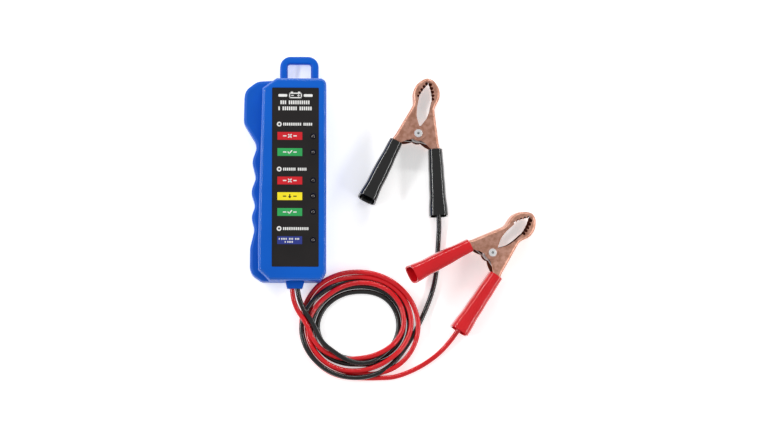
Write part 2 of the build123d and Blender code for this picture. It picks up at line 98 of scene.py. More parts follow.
world = bpy.data.worlds.new("studio")
world.use_nodes = True
world.node_tree.nodes["Background"].inputs["Color"].default_value = (1.0, 1.0, 1.0, 1.0)
world.node_tree.nodes["Background"].inputs["Strength"].default_value = 0.34
bpy.context.scene.world = world


def group_input(tree, kind, name, value):
    """One named input of a shader node group."""
    socket = tree.interface.new_socket(name, in_out="INPUT", socket_type=kind)
    socket.default_value = value


# The finish that every moulded, coated or stamped piece shares: a slow mottle between two colours,
# a fine grain in the height, and a roughness that follows both.
surface = bpy.data.node_groups.new("made_surface", "ShaderNodeTree")
group_input(surface, "NodeSocketColor", "Colour", (0.5, 0.5, 0.5, 1.0))
group_input(surface, "NodeSocketColor", "Worn Colour", (0.6, 0.6, 0.6, 1.0))
group_input(surface, "NodeSocketFloat", "Mottle Scale", 60.0)
group_input(surface, "NodeSocketFloat", "Grain Scale", 2500.0)
group_input(surface, "NodeSocketFloat", "Smoothest", 0.3)
group_input(surface, "NodeSocketFloat", "Roughest", 0.4)
surface_outputs = (
    ("Colour", "NodeSocketColor"), ("Roughness", "NodeSocketFloat"), ("Height", "NodeSocketFloat"),
)
for output, kind in surface_outputs:
    surface.interface.new_socket(output, in_out="OUTPUT", socket_type=kind)
node, link = surface.nodes.new, surface.links.new
given, result = node("NodeGroupInput"), node("NodeGroupOutput")
place = node("ShaderNodeTexCoord")
mottle, grain = node("ShaderNodeTexNoise"), node("ShaderNodeTexNoise")
for noise, scale, detail in ((mottle, "Mottle Scale", 4.0), (grain, "Grain Scale", 2.0)):
    noise.inputs["Detail"].default_value = detail
    link(place.outputs["Object"], noise.inputs["Vector"])
    link(given.outputs[scale], noise.inputs["Scale"])
spread = node("ShaderNodeMapRange")
spread.inputs["From Min"].default_value = 0.36
spread.inputs["From Max"].default_value = 0.66
link(mottle.outputs["Fac"], spread.inputs["Value"])
speck = node("ShaderNodeMath")
speck.operation = "MULTIPLY_ADD"
speck.inputs[1].default_value = 0.35
link(grain.outputs["Fac"], speck.inputs[0])
link(spread.outputs["Result"], speck.inputs[2])
tint = node("ShaderNodeMix")
tint.data_type = "RGBA"
link(speck.outputs["Value"], tint.inputs["Factor"])
link(given.outputs["Colour"], tint.inputs["A"])
link(given.outputs["Worn Colour"], tint.inputs["B"])
rough = node("ShaderNodeMapRange")
link(mottle.outputs["Fac"], rough.inputs["Value"])
link(given.outputs["Smoothest"], rough.inputs["To Min"])
link(given.outputs["Roughest"], rough.inputs["To Max"])
link(tint.outputs["Result"], result.inputs["Colour"])
link(rough.outputs["Result"], result.inputs["Roughness"])
link(grain.outputs["Fac"], result.inputs["Height"])


def finish(name, colour, worn, mottle, grain, roughness, relief, metallic=0.0, gloss=0.5, coat=0.0):
    """A material: the shared surface with its own colours, sizes and gloss."""
    material = bpy.data.materials.new(name)
    material.use_nodes = True
    tree = material.node_tree
    shader = tree.nodes["Principled BSDF"]
    made = tree.nodes.new("ShaderNodeGroup")
    made.node_tree = surface
    made.inputs["Colour"].default_value = (*colour, 1.0)
    made.inputs["Worn Colour"].default_value = (*worn, 1.0)
    made.inputs["Mottle Scale"].default_value = mottle
    made.inputs["Grain Scale"].default_value = grain
    made.inputs["Smoothest"].default_value = roughness[0]
    made.inputs["Roughest"].default_value = roughness[1]
    bump = tree.nodes.new("ShaderNodeBump")
    bump.inputs["Strength"].default_value = relief
    bump.inputs["Distance"].default_value = 0.0001
    tree.links.new(made.outputs["Colour"], shader.inputs["Base Color"])
    tree.links.new(made.outputs["Roughness"], shader.inputs["Roughness"])
    tree.links.new(made.outputs["Height"], bump.inputs["Height"])
    tree.links.new(bump.outputs["Normal"], shader.inputs["Normal"])
    shader.inputs["Metallic"].default_value = metallic
    shader.inputs["Specular IOR Level"].default_value = gloss
    shader.inputs["Coat Weight"].default_value = coat
    shader.inputs["Coat Roughness"].default_value = 0.08
    return material


# The table glows a little, which keeps the shadows on it pale.
table_paper = finish(
    "table_paper", (0.93, 0.93, 0.93), (0.96, 0.96, 0.96), 3.0, 900.0, (0.7, 0.9), 0.05, gloss=0.1,
)
paper_shader = table_paper.node_tree.nodes["Principled BSDF"]
paper_shader.inputs["Emission Color"].default_value = (1.0, 1.0, 1.0, 1.0)
paper_shader.inputs["Emission Strength"].default_value = 0.45
table = bpy.data.objects.new("table", bpy.data.meshes.new("table"))
table_reach = 3.0
table_drop = 0.0001
table_corners = [
    (x * table_reach, y * table_reach, -table_drop) for x, y in ((-1, -1), (1, -1), (1, 1), (-1, 1))
]
table.data.from_pydata(table_corners, [], [(0, 1, 2, 3)])
table.data.materials.append(table_paper)
bpy.context.collection.objects.link(table)


# ---- Test leads ----
# Two limp leads of stranded copper in soft glossy PVC, red and black. Both leave the gland side by side,
# lie in three loose turns, and run on to the crimp inside the fixed handle of their clamp.
lead_diameter = 2.8
coil_middle = Vector((42.4, -86.6))
coil_start = 180.0
eighth = 45.0
# Each route has points from the gland, then the turns' reach from the coil's middle and their height at
# every eighth of a turn, how many eighths are used, and points on to the clamp.
lead_routes = {
    "red": {
        "start": [
            (4.3, -65.7, 9.0), (4.6, -69.7, 8.8), (5.8, -74.3, 8.0), (8.2, -79.2, 7.2), (11.9, -84.0, 6.9),
        ],
        "reach": [
            30.1, 22.4, 17.4, 19.0, 24.7, 26.2, 24.8, 25.0, 29.4, 27.9, 24.4, 24.6, 29.0, 29.4, 28.0, 30.0,
            29.6, 27.6, 25.9, 30.6, 33.0, 31.6, 30.7, 33.0, 32.6, 30.9, 28.9,
        ],
        "height": [
            7.0, 4.4, 4.2, 5.0, 4.2, 4.2, 4.2, 4.2, 4.2, 4.2, 4.2, 4.2, 4.2, 4.2, 4.2, 1.9,
            1.4, 1.4, 1.4, 2.6, 4.2, 5.6, 5.4, 1.9, 1.4, 1.4, 1.4,
        ],
        "last": 25.5,
        "end": [
            (45.2, -115.3, 1.4), (53.0, -115.2, 1.4), (61.6, -114.9, 1.4), (70.9, -111.6, 1.4),
            (79.6, -107.0, 1.4), (87.3, -101.2, 1.5), (93.5, -94.3, 2.2), (97.9, -88.1, 3.7),
            (101.7, -82.2, 5.3), (106.6, -74.7, 6.7), (111.8, -66.7, 7.2),
        ],
    },
    "black": {
        "start": [
            (7.3, -65.7, 9.0), (7.9, -69.7, 8.8), (9.4, -74.3, 8.0), (11.9, -79.2, 7.2), (15.6, -84.0, 7.0),
        ],
        "reach": [
            26.0, 20.0, 20.5, 20.4, 22.0, 22.0, 19.9, 21.4, 23.8, 20.6, 17.6, 21.6, 24.9, 24.8, 22.9, 24.4,
            27.0, 24.2, 20.6, 24.6, 28.2, 27.6, 26.0, 28.2, 33.0, 30.9, 28.4, 27.6,
        ],
        "height": [
            7.0, 7.0, 5.8, 2.5, 1.4, 1.4, 1.4, 1.4, 1.4, 1.4, 1.4, 1.4, 1.4, 1.4, 1.4, 1.4,
            1.4, 1.4, 1.4, 1.4, 1.4, 1.4, 1.4, 3.9, 4.4, 4.2, 4.2, 1.4,
        ],
        "last": 27.0,
        "end": [
            (71.0, -94.2, 1.4), (75.9, -84.8, 1.4), (80.0, -75.7, 1.4), (83.4, -66.6, 1.4),
            (85.6, -56.6, 1.4), (86.2, -46.6, 1.4), (86.8, -37.6, 1.4), (87.2, -30.0, 1.9),
            (86.9, -23.2, 3.3), (86.1, -16.5, 4.9), (85.3, -7.6, 6.2), (84.7, 1.9, 6.7),
        ],
    },
}


def between(values, place):
    """The value at a place between the listed ones, on a smooth curve through them."""
    first = min(int(place), len(values) - 2)
    t = place - first
    a, b, c, d = (values[max(0, min(len(values) - 1, first + k))] for k in (-1, 0, 1, 2))
    return b + 0.5 * t * (c - a + t * (2 * a - 5 * b + 4 * c - d + t * (3 * (b - c) + d - a)))


red_pvc = finish(
    "red_pvc", (0.60, 0.003, 0.008), (0.72, 0.008, 0.014), 40.0, 1500.0, (0.13, 0.20), 0.04, gloss=0.35,
    coat=0.7,
)
black_pvc = finish(
    "black_pvc", (0.006, 0.006, 0.006), (0.012, 0.012, 0.012), 40.0, 1500.0, (0.14, 0.22), 0.04, gloss=0.35,
    coat=0.7,
)
pvc = {"red": red_pvc, "black": black_pvc}
# The spline cuts inside its control points, so the turns' points stand a little further out.
outward = 1 / math.cos(math.radians(eighth / 4))
for colour, route in lead_routes.items():
    points = list(route["start"])
    sixteenths = int(route["last"] * 2)
    for step in range(1, sixteenths + 1):
        angle = math.radians(coil_start + step * eighth / 2)
        reach = between(route["reach"], step / 2) * outward
        points.append((
            coil_middle.x + reach * math.cos(angle),
            coil_middle.y + reach * math.sin(angle),
            max(lead_diameter / 2, between(route["height"], step / 2)),
        ))
    points += route["end"]
    curve = bpy.data.curves.new(f"{colour}_lead", "CURVE")
    curve.dimensions = "3D"
    curve.bevel_depth = lead_diameter / 2 * MM
    curve.bevel_resolution = 6
    curve.resolution_u = 5
    curve.use_fill_caps = True
    spline = curve.splines.new("NURBS")
    spline.points.add(len(points) - 1)
    for control, (x, y, z) in zip(spline.points, points):
        control.co = (x * MM, y * MM, z * MM, 1.0)
    spline.order_u = 3
    spline.use_endpoint_u = True
    curve.materials.append(pvc[colour])
    lead = bpy.data.objects.new(f"{colour}_lead", curve)
    bpy.context.collection.objects.link(lead)
    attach(lead, "tester")
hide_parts("red_lead_start", "red_lead_end", "lead_coil")
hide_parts("black_lead_start", "black_lead_end")


# ---- Back half of the housing ----
# The tray that lies on the table: ABS, moulded in blue with a fine spark texture. Its grip side swells at
# the head and waves for the fingers, and the hang loop is moulded on. Four screws go in from below.
blue_abs = finish(
    "blue_abs", (0.0, 0.096, 0.53), (0.0, 0.112, 0.59), 25.0, 2600.0, (0.34, 0.46), 0.18, gloss=0.25,
)
case_depth = 22.0
split_height = 13.0
case_wall = 2.0
case_right = 23.0
case_top = 51.8
case_bottom = -61.8
grip_top = 10.5
grip_rim = 1.7
back_rim = 0.8
right_corner = [(case_right, -57.5, 0.8), (case_right, case_top, 3.6)]
back_corners = [
    (-6.0, case_top, 5.0), (-15.5, 51.2, 7.0), (-22.6, 45.8, 7.0), (-23.0, 28.0, 7.0), (-15.2, 15.0, 7.0),
    (-18.3, 6.2, 7.0), (-16.0, -3.2, 7.0), (-18.9, -10.9, 7.0), (-16.3, -18.9, 7.0), (-18.7, -25.0, 7.0),
    (-16.8, -32.2, 7.0), (-19.3, -42.5, 7.0), (-19.4, -54.0, 7.0), (-18.0, -58.0, 7.0),
    (-12.5, case_bottom, 3.5), (20.1, case_bottom, 0.8), *right_corner,
]
front_corners = [
    (-4.9, case_top, 0.8), (-12.7, 46.2, 0.8), (-14.4, -15.7, 0.0), (-15.0, -42.5, 0.0), (-14.9, -55.8, 0.8),
    (-8.5, case_bottom, 0.8), (20.1, case_bottom, 0.8), *right_corner,
]
screw_places = ((-5.0, 43.4), (16.2, 44.6), (-7.6, -53.5), (16.2, -55.0))
screw_recess_radius = 2.6
screw_recess_depth = 2.6
gland_x = 5.8
gland_neck_width = 7.4
gland_low = 5.5


def inset(outline, distance):
    """The outline moved in by a distance, corner by corner; the outline runs counter-clockwise."""
    moved = []
    for index, here in enumerate(outline):
        back = (here - outline[index - 1]).normalized()
        ahead = (outline[(index + 1) % len(outline)] - here).normalized()
        left, right = Vector((-back.y, back.x)), Vector((-ahead.y, ahead.x))
        moved.append(here + (left + right) * distance / (1 + left.dot(right)))
    return moved


def rounded(corners, shift=0.0, steps=5):
    """A closed outline, moved in by a shift, whose corners, listed as x, y and radius, are arcs."""
    sharp = inset([Vector(corner[:2]) for corner in corners], shift)
    least_radius, most_of_edge = 0.12, 0.48
    outline = []
    for index, corner in enumerate(sharp):
        radius = corners[index][2]
        before = sharp[index - 1] - corner
        after = sharp[(index + 1) % len(sharp)] - corner
        if radius == 0:
            outline.append(corner)
            continue
        bulges = -before.x * after.y + before.y * after.x > 0
        radius = max(least_radius, radius - shift if bulges else radius + shift)
        half = before.angle(after) / 2
        cut = min(radius / math.tan(half), most_of_edge * before.length, most_of_edge * after.length)
        centre = corner + (before.normalized() + after.normalized()).normalized() * cut / math.cos(half)
        first = corner + before.normalized() * cut - centre
        last = corner + after.normalized() * cut - centre
        sweep = first.angle_signed(last)
        for step in range(steps + 1):
            outline.append(centre + Matrix.Rotation(-sweep * step / steps, 2) @ first)
    return outline


def circle(x, y, radius, steps=24):
    """A round outline."""
    return [
        Vector((x + radius * math.cos(math.tau * n / steps), y + radius * math.sin(math.tau * n / steps)))
        for n in range(steps)
    ]


class Skin:
    """A mesh put together face by face, in millimetres."""

    def __init__(self):
        self.points, self.faces, self.inner = [], [], set()

    def loop(self, outline, height):
        """Adds an outline at a height and gives back its points' numbers."""
        first = len(self.points)
        self.points += [(p[0], p[1], height) for p in outline]
        return list(range(first, len(self.points)))

    def wall(self, low, high, closed=True, inner=False):
        """Joins two loops of as many points with four-sided faces."""
        for n in range(len(low) if closed else len(low) - 1):
            m = (n + 1) % len(low)
            if inner:
                self.inner.add(len(self.faces))
            self.faces.append((low[n], low[m], high[m], high[n]))

    def cap(self, loops, inner=False):
        """Fills a flat outline, the first loop, round the holes that the other loops give."""
        numbers = [n for loop in loops for n in loop]
        shape = [[Vector((*self.points[n][:2], 0.0)) for n in loop] for loop in loops]
        for triangle in geometry.tessellate_polygon(shape):
            if inner:
                self.inner.add(len(self.faces))
            self.faces.append(tuple(numbers[k] for k in triangle))

    def prism(self, outline_at, low, high, top=0.0, bottom=0.0, steps=4):
        """A closed solid of an outline, given for each shift inwards, with rims rounded by those radii."""
        rims = [
            (bottom * (1 - math.sin(a)), low + bottom * (1 - math.cos(a))) for a in rim_angles(bottom, steps)
        ]
        rims += [
            (top * (1 - math.sin(a)), high - top * (1 - math.cos(a)))
            for a in reversed(rim_angles(top, steps))
        ]
        loops = [self.loop(outline_at(shift), height) for shift, height in rims]
        for below, above in zip(loops, loops[1:]):
            self.wall(below, above)
        self.cap([loops[0]])
        self.cap([loops[-1]])
        return self

    def build(self, name, *materials, seat=None, sharp=32.0):
        """The mesh as an object, its faces turned outwards and smooth except at sharp edges."""
        mesh = bpy.data.meshes.new(name)
        mesh.from_pydata([Vector(p) * MM for p in self.points], [], self.faces)
        if seat is not None:
            mesh.transform(seat)
        work = bmesh.new()
        work.from_mesh(mesh)
        work.faces.ensure_lookup_table()
        # Faces marked inner take the second material: on the levers that is painted shade, on the housing the
        # glossier blue of the bevel.
        for number in self.inner:
            work.faces[number].material_index = 1
        bmesh.ops.remove_doubles(work, verts=work.verts, dist=1e-7)
        bmesh.ops.recalc_face_normals(work, faces=work.faces)
        work.to_mesh(mesh)
        work.free()
        for material in materials:
            mesh.materials.append(material)
        piece = bpy.data.objects.new(name, mesh)
        bpy.context.collection.objects.link(piece)
        soften(mesh, sharp)
        return piece


def rim_angles(radius, steps):
    """The angles of a rim's rounding, from the flat face to the wall; a sharp rim has one."""
    return [math.radians(90.0 * n / steps) for n in range(steps + 1)] if radius else [math.pi / 2]


def soften(mesh, sharp):
    """Smooth shading, broken at edges that turn by more than that many degrees."""
    work = bmesh.new()
    work.from_mesh(mesh)
    for face in work.faces:
        face.smooth = True
    for edge in work.edges:
        edge.smooth = len(edge.link_faces) == 2 and edge.calc_face_angle(0.0) < math.radians(sharp)
    work.to_mesh(mesh)
    work.free()


def shape_with(piece, operation, other):
    """Joins or cuts a piece with another closed mesh, which is used up."""
    modifier = piece.modifiers.new("shape", "BOOLEAN")
    modifier.operation = operation
    modifier.object = other
    modifier.solver = "EXACT"
    bpy.context.view_layer.update()
    mesh = bpy.data.meshes.new_from_object(piece.evaluated_get(bpy.context.evaluated_depsgraph_get()))
    piece.modifiers.clear()
    piece.data = mesh
    bpy.data.objects.remove(other)
    soften(mesh, 32.0)


# Solids that are joined or cut keep a little apart, because faces in one plane don't join cleanly.
skin_gap = 0.05
back_lift = 0.03
cut_past = 1.0
wide_corners = [
    (min(x, case_right - skin_gap), max(case_bottom + skin_gap, min(y, case_top - skin_gap)), radius)
    for x, y, radius in back_corners
]
back_half = Skin().prism(lambda s: rounded(wide_corners, s), back_lift, grip_top, grip_rim, back_rim)
back_half = back_half.build("back_half", blue_abs)
ledge = Skin().prism(lambda s: rounded(front_corners, s), 0.0, split_height, bottom=back_rim)
shape_with(back_half, "UNION", ledge.build("ledge", blue_abs))

loop_left, loop_right, loop_top, loop_depth = -2.6, 19.1, 65.9, 6.0
loop_bar, loop_root, loop_rim = 4.3, 3.0, 1.2
loop_corners = [
    (loop_left, case_top - loop_root, 0.0), (loop_right, case_top - loop_root, 0.0),
    (loop_right, loop_top, 5.9), (loop_left, loop_top, 5.9),
]
opening_corners = [
    (loop_left + loop_bar, case_top - 0.5, 0.0), (loop_right - loop_bar, case_top - 0.5, 0.0),
    (loop_right - loop_bar, loop_top - loop_bar, 1.4), (loop_left + loop_bar, loop_top - loop_bar, 1.4),
]
rims = [(loop_rim * (1 - math.sin(a)), loop_rim * (1 - math.cos(a))) for a in rim_angles(loop_rim, 4)]
rims += [(shift, loop_depth - lift) for shift, lift in reversed(rims)]
hang_loop = Skin()
ends = []
for corners, way in ((loop_corners, 1), (opening_corners, -1)):
    loops = [hang_loop.loop(rounded(corners, way * shift, 8), skin_gap + height) for shift, height in rims]
    for below, above in zip(loops, loops[1:]):
        hang_loop.wall(below, above)
    ends.append((loops[0], loops[-1]))
for outer, inner in zip(*ends):
    hang_loop.cap([outer, inner])
shape_with(back_half, "UNION", hang_loop.build("hang_loop", blue_abs))

hollow = Skin().prism(lambda s: rounded(back_corners, case_wall + skin_gap), case_wall, grip_top - case_wall)
shape_with(back_half, "DIFFERENCE", hollow.build("hollow"))
hollow = Skin().prism(lambda s: rounded(front_corners, case_wall), case_wall + 0.01, split_height + cut_past)
shape_with(back_half, "DIFFERENCE", hollow.build("hollow"))
for x, y in screw_places:
    recess = Skin().prism(lambda s: circle(x, y, screw_recess_radius), -cut_past, screw_recess_depth)
    shape_with(back_half, "DIFFERENCE", recess.build("recess"))
slot_corners = [
    (gland_x + side * gland_neck_width / 2, case_bottom + y, 0.0)
    for side, y in ((-1, -1), (1, -1), (1, 3), (-1, 3))
]
slot = Skin().prism(lambda s: rounded(slot_corners), gland_low - 0.1, split_height + cut_past)
shape_with(back_half, "DIFFERENCE", slot.build("slot"))
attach(back_half, "tester")
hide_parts("back_shell")


# ---- Raised front half of the housing ----
# The same blue ABS, with a polished bevel all round the face and a shallow recess for the label. It drops
# over the back half's ledge, and the six lights look out through holes in the recess.
face_bevel = 1.2
label_centre = (5.65, -4.05)
label_width = 26.3
label_length = 100.7
label_recess = 0.5
face_wall = 2.4
light_x = 15.6
light_rows = (18.9, 10.0, -5.8, -14.6, -23.5, -39.3)
light_hole_radius = 1.6
front_half = Skin()
bevel_turn = 0.35
bevel_shape = [
    (0.0, split_height), (0.0, case_depth - face_bevel - bevel_turn), (0.06, case_depth - face_bevel - 0.1),
    (0.25, case_depth - face_bevel + 0.15), (face_bevel - 0.25, case_depth - 0.22),
    (face_bevel, case_depth - 0.07), (face_bevel + bevel_turn, case_depth),
]
shell_loops = [front_half.loop(rounded(front_corners, shift), height) for shift, height in bevel_shape]
for number, (below, above) in enumerate(zip(shell_loops, shell_loops[1:])):
    front_half.wall(below, above, inner=number > 0)

label_corners = [
    (label_centre[0] + sx * label_width / 2, label_centre[1] + sy * label_length / 2, 0.6)
    for sx, sy in ((-1, -1), (1, -1), (1, 1), (-1, 1))
]
recess_floor = case_depth - label_recess
recess_top = front_half.loop(rounded(label_corners, -0.15), case_depth)
recess_lip = front_half.loop(rounded(label_corners), case_depth - 0.12)
recess_low = front_half.loop(rounded(label_corners), recess_floor)
front_half.cap([shell_loops[-1], recess_top])
front_half.wall(recess_top, recess_lip)
front_half.wall(recess_lip, recess_low)
ceiling = case_depth - face_wall
inner_outline = rounded(front_corners, case_wall)
inner_low = front_half.loop(inner_outline, split_height)
inner_high = front_half.loop(inner_outline, ceiling)
front_half.wall(shell_loops[0], inner_low)
front_half.wall(inner_low, inner_high)
hole_tops, hole_feet = [], []
for y in light_rows:
    hole = circle(light_x, y, light_hole_radius)
    hole_tops.append(front_half.loop(hole, recess_floor))
    hole_feet.append(front_half.loop(hole, ceiling))
    front_half.wall(hole_tops[-1], hole_feet[-1])
front_half.cap([recess_low] + hole_tops)
front_half.cap([inner_high] + hole_feet)
blue_gloss = finish(
    "blue_gloss", (0.0, 0.104, 0.55), (0.0, 0.118, 0.61), 25.0, 2600.0, (0.16, 0.24), 0.06, coat=0.4,
)
front_half = front_half.build("front_half", blue_abs, blue_gloss)
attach(front_half, "tester")
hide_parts("front_shell")


# ---- Label ----
# A black polycarbonate film glued into the recess, with clean holes over the lights. What it says is
# screen-printed: coloured bars with a sign for each result, small rings, and rows of plain strokes.
label_thickness = 0.4
label_gap = 0.1
film_lift = 0.01
print_height = 0.05
ink_sink = 0.02
film_black = finish(
    "film_black", (0.013, 0.012, 0.012), (0.018, 0.016, 0.016), 45.0, 3200.0, (0.42, 0.55), 0.12, gloss=0.18,
)
film = Skin()
film_top = recess_floor + label_thickness
film_low = film.loop(rounded(label_corners, label_gap), recess_floor + film_lift)
film_high = film.loop(rounded(label_corners, label_gap), film_top)
film.wall(film_low, film_high)
film_holes = [
    [film.loop(circle(light_x, y, light_hole_radius), height) for y in light_rows]
    for height in (recess_floor + film_lift, film_top)
]
for low, high in zip(*film_holes):
    film.wall(low, high)
film.cap([film_low] + film_holes[0])
film.cap([film_high] + film_holes[1])
film = film.build("label_film", film_black)
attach(film, "tester")
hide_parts("face_label")

ink_colours = {
    "white": (0.86, 0.86, 0.84), "red": (0.66, 0.012, 0.022), "green": (0.03, 0.39, 0.10),
    "yellow": (1.0, 0.83, 0.02), "navy": (0.026, 0.042, 0.26), "black": (0.012, 0.012, 0.012),
}
inks = {name: Skin() for name in ink_colours}


def printed(ink, outline, layer=0):
    """A printed shape: a thin raised layer of ink, on the film or on another layer."""
    base = film_top + layer * print_height
    inks[ink].prism(lambda s: [Vector(p) for p in outline], base - ink_sink, base + print_height)


def bar(ink, x, y, width, height, layer=0, turn=0.0, corner=0.12):
    """A printed bar round its middle, turned by an angle in degrees."""
    corners = [(sx * width / 2, sy * height / 2, corner) for sx, sy in ((-1, -1), (1, -1), (1, 1), (-1, 1))]
    shape = rounded(corners, 0.0, 3)
    spin = Matrix.Rotation(math.radians(turn), 2)
    printed(ink, [Vector((x, y)) + spin @ p for p in shape], layer)


def strokes(ink, left, y, height, count, stroke=0.8, gap=0.42, layer=0):
    """A row of plain upright strokes, as wide as a word of that many letters; gives back its right end."""
    for n in range(count):
        bar(ink, left + stroke / 2 + n * (stroke + gap), y, stroke, height, layer)
    return left + count * (stroke + gap) - gap


def sign(ink, kind, x, y, layer=1):
    """A cross for bad, a tick for good, an arrow down for low."""
    if kind == "cross":
        for turn in (45, -45):
            bar(ink, x, y, 2.7, 0.62, layer, turn)
    elif kind == "tick":
        bar(ink, x - 0.72, y - 0.28, 1.4, 0.62, layer, -45)
        bar(ink, x + 0.42, y + 0.04, 2.5, 0.62, layer, 50)
    else:
        bar(ink, x, y + 0.35, 0.66, 1.6, layer)
        printed(ink, [(x - 1.0, y - 0.1), (x, y - 1.25), (x + 1.0, y - 0.1)], layer)


chip_centre = 2.55
chip_width = 13.9
chip_height = 4.4
result_chips = (
    ("red", "cross", "white", 19.1), ("green", "tick", "white", 10.0), ("red", "cross", "white", -6.0),
    ("yellow", "arrow", "black", -14.8), ("green", "tick", "white", -23.7),
)
for ink, kind, mark, y in result_chips:
    bar(ink, chip_centre, y, chip_width, chip_height, corner=0.1)
    sign(mark, kind, chip_centre, y)
    for side in (-1, 1):
        bar(mark, chip_centre + side * 2.9, y, 1.9, 0.62, 1)
advice_row = -39.5
bar("navy", chip_centre, advice_row, chip_width, chip_height, corner=0.1)
advice_words = (
    (-3.5, 1, 0.75), (-2.2, 4, 0.75), (2.2, 3, 0.75), (5.6, 3, 0.75), (-0.2, 1, -0.95), (1.2, 4, -0.95),
)
for left, count, y in advice_words:
    strokes("white", left, advice_row + y, 1.0, count, 0.5, 0.36, 1)
ring_x = -3.4
ring_outer, ring_inner = 1.35, 0.62
for y, words in ((25.7, (10, 5)), (0.4, (7, 5)), (-33.0, (14,))):
    ring = inks["white"]
    outer = [ring.loop(circle(ring_x, y, ring_outer), film_top + lift) for lift in (-ink_sink, print_height)]
    inner = [ring.loop(circle(ring_x, y, ring_inner), film_top + lift) for lift in (-ink_sink, print_height)]
    ring.wall(*outer)
    ring.wall(*inner)
    ring.cap([outer[0], inner[0]])
    ring.cap([outer[1], inner[1]])
    left = -1.2
    for count in words:
        left = strokes("white", left, y, 1.6, count, 0.68, 0.36) + 1.3
for y, left, words in ((38.0, -2.8, (3, 10)), (34.6, -3.9, (1, 7, 6))):
    for count in words:
        left = strokes("white", left, y, 2.1, count, 0.80, 0.40) + 1.5
battery_y = 41.9
for side in (-1, 1):
    bar("white", label_centre[0] + side * 3.3, battery_y, 0.6, 3.0)
    bar("white", label_centre[0], battery_y + side * 1.25, 7.2, 0.6)
    bar("white", label_centre[0] + side * 2.0, battery_y + 1.8, 1.3, 0.6)
    bar("white", label_centre[0] + side * 7.1, battery_y, 5.0, 1.5, corner=0.5)
    bar("white", label_centre[0] + side * 1.7, battery_y, 1.5, 0.45)
bar("white", label_centre[0] + 1.7, battery_y, 0.45, 1.5)
for ink, shape in inks.items():
    colour = ink_colours[ink]
    worn = tuple(0.9 * c for c in colour)
    ink_finish = finish(f"{ink}_ink", colour, worn, 220.0, 3500.0, (0.45, 0.6), 0.15, gloss=0.3)
    layer = shape.build(f"{ink}_print", ink_finish)
    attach(layer, "tester")


# ---- Lead gland ----
# A tapered block of the same blue plastic, held in the housing's end wall by its neck.
# Both leads run into it; it is solid here, without bores.
gland_out = 3.9
gland_end_half, gland_flange_half = 4.3, 5.2
gland_neck_half = gland_neck_width / 2
neck_start, neck_end, flange_end = -0.1, 2.1, 3.4
gland_top = 12.5
gland_profile = (
    (gland_end_half, -gland_out, 0.9), (gland_flange_half, neck_start, 0.3),
    (gland_neck_half, neck_start, 0.0), (gland_neck_half, neck_end, 0.0),
    (gland_flange_half, neck_end, 0.0), (gland_flange_half, flange_end, 0.3),
)
gland_corners = [(gland_x + half, case_bottom + y, radius) for half, y, radius in gland_profile]
gland_corners += [(gland_x - half, case_bottom + y, radius) for half, y, radius in reversed(gland_profile)]
gland = Skin().prism(lambda s: rounded(gland_corners, s, 4), gland_low, gland_top, top=0.3, bottom=0.3)
gland = gland.build("gland", blue_abs)
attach(gland, "tester")
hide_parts("lead_gland")


# ---- Clamps ----
# Two stamped battery clips. Each lever is a channel of copper-flashed steel, folded from one sheet: two
# plates joined by a web along the outer edge, with teeth cut along the jaws. The moving lever straddles
# the fixed one on a hollow zinc rivet, and a torsion spring between them shuts the jaws.
copper = finish(
    "copper_plate", (0.52, 0.23, 0.15), (0.74, 0.40, 0.30), 420.0, 2600.0, (0.32, 0.44), 0.5, metallic=0.8,
)
# A darker brown copy of the copper: painted shade for the faces inside the channel, where little light gets
# in.
copper_painted_shade = finish(
    "copper_painted_shade", (0.16, 0.035, 0.014), (0.24, 0.06, 0.03), 120.0, 2200.0, (0.4, 0.6), 0.35, metallic=0.5,
)
zinc = finish(
    "zinc_plate", (0.92, 0.92, 0.92), (0.80, 0.80, 0.82), 150.0, 2600.0, (0.18, 0.34), 0.12, metallic=0.45,
)
spring_steel = finish(
    "spring_steel", (0.34, 0.32, 0.31), (0.50, 0.48, 0.47), 200.0, 2600.0, (0.2, 0.36), 0.1, metallic=1.0,
)
sheet = 0.9
fold = 1.5
jaw_tip, jaw_gap = 31.8, 0.15
mouth_half_gap = 3.7
tooth_start, tooth_end, tooth_count = 19.8, 29.2, 5
lobe_radius = 4.1
rivet_radius = 1.5
boot_angle = math.radians(14.8)
boot_mouth = Vector((11.2, -6.4))
along = Vector((math.sin(boot_angle), -math.cos(boot_angle)))
across = Vector((math.cos(boot_angle), math.sin(boot_angle)))
boot_length, boot_half_height = 38.0, 6.7
boot_mouth_half, boot_end_half = 4.1, 5.75
boot_wall = 1.2
# How far a sleeve's far end is cut back at the top, and where its waves start.
boot_looks = {"fixed": (0.3, 0.6), "moving": (2.4, 2.9)}
handle_half, handle_length = 2.6, 31.0
upper_teeth, lower_teeth, lower_lobe_drop = 1.5, 0.25, 1.2
# Each lever's side, and the heights of its lower and upper plate.
lever_levels = {"fixed": (1, 2.2, 11.2), "moving": (-1, 1.0, 12.4)}


def boot_point(distance, shift):
    """A point of the fixed handle, that far from the sleeve's mouth and that far out from its middle."""
    return boot_mouth + along * distance + across * shift


def curve_through(points, first, last, steps):
    """A smooth run through points, that starts and ends in the given directions."""
    tangents = [Vector(first)] + [(c - a) / 2 for a, c in zip(points, points[2:])] + [Vector(last)]
    run = []
    for a, b, ta, tb in zip(points, points[1:], tangents, tangents[1:]):
        for n in range(steps):
            t = n / steps
            run.append(
                a * (2 * t ** 3 - 3 * t ** 2 + 1) + ta * (t ** 3 - 2 * t ** 2 + t)
                + b * (3 * t ** 2 - 2 * t ** 3) + tb * (t ** 3 - t ** 2)
            )
    return run + [points[-1]]


jaw_edge = curve_through(
    [Vector(p) for p in ((jaw_gap, jaw_tip), (5.6, 28.3), (7.6, 22.5), (6.2, 15.2))],
    (7.0, 0.4), (0.8, -6.5), 7,
)
outer_edge = jaw_edge + [
    Vector((7.1, 12.3)), Vector((9.8, 4.6)), Vector((12.4, -3.0)), boot_point(0, handle_half),
    boot_point(handle_length, handle_half),
]


